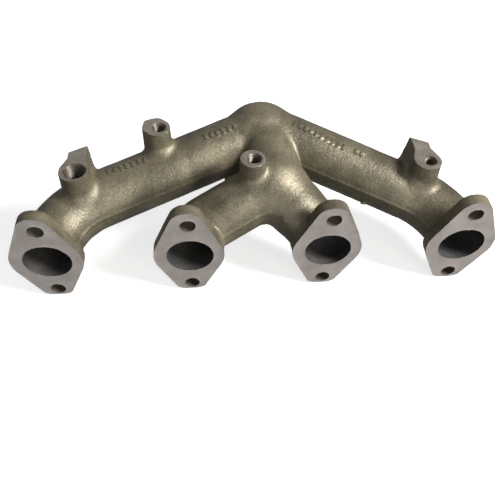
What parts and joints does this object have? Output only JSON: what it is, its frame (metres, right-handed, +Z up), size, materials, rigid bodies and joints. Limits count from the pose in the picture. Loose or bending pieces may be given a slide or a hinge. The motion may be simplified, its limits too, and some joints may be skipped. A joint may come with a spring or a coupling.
{
  "type": "exhaust manifold",
  "caption": "Cast iron log-style exhaust manifold: flanged runners sweep into a raised collector pot with a downward flanged outlet; upright threaded bosses.",
  "frame": {"origin": "middle of the port row, in the plane of the flange faces", "axes": "+X along the port row, -Y out of the ports toward the cylinder head, +Z up along the threaded bosses"},
  "size_m": [0.3856, 0.154, 0.1037],
  "materials": {
    "cast_iron": "sand cast, dull",
    "machined_iron": "face milled, satin"
  },
  "bodies": {
    "root": {"port_flange_1": "machined_iron", "port_flange_2": "machined_iron", "port_flange_3": "machined_iron", "port_flange_4": "machined_iron", "outer_runner_left": "cast_iron", "inner_runner_left": "cast_iron", "inner_runner_right": "cast_iron", "outer_runner_right": "cast_iron", "inner_junction": "cast_iron", "collector": "cast_iron", "outlet_neck": "cast_iron", "outlet_flange": "machined_iron", "sensor_boss": "cast_iron", "sensor_boss_lug": "cast_iron", "bracket_boss": "cast_iron", "bracket_boss_lug": "cast_iron", "shield_boss_left": "cast_iron", "shield_boss_left_pad": "cast_iron", "shield_boss_centre": "cast_iron"}
  },
  "joints": []
}
